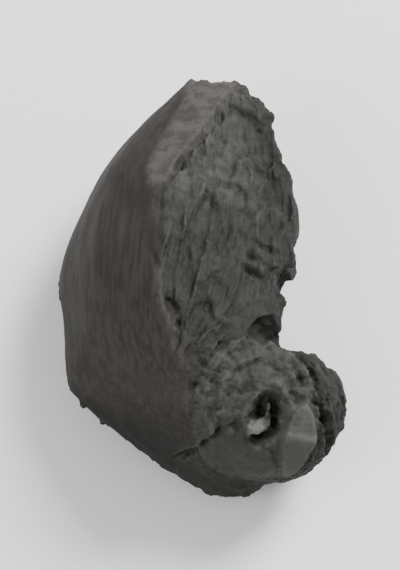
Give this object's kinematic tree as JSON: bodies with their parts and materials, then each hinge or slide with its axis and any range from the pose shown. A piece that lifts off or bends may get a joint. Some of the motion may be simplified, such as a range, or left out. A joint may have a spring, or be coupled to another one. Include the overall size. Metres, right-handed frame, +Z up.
{
  "type": "charcoal lump",
  "caption": "Broken lump of hardwood charcoal: a smooth curved outer face, a torn face along the grain and a knot with a dark gap round its core.",
  "frame": {"origin": "centre of the lump's box in plan, on the surface that it rests on", "axes": "+Y along the wood's grain, away from the knot; +Z up; the smooth outer face looks to -X"},
  "size_m": [0.0541, 0.0838, 0.0367],
  "materials": {
    "charcoal": "matte"
  },
  "bodies": {
    "root": {"charcoal_lump": "charcoal"}
  },
  "joints": []
}
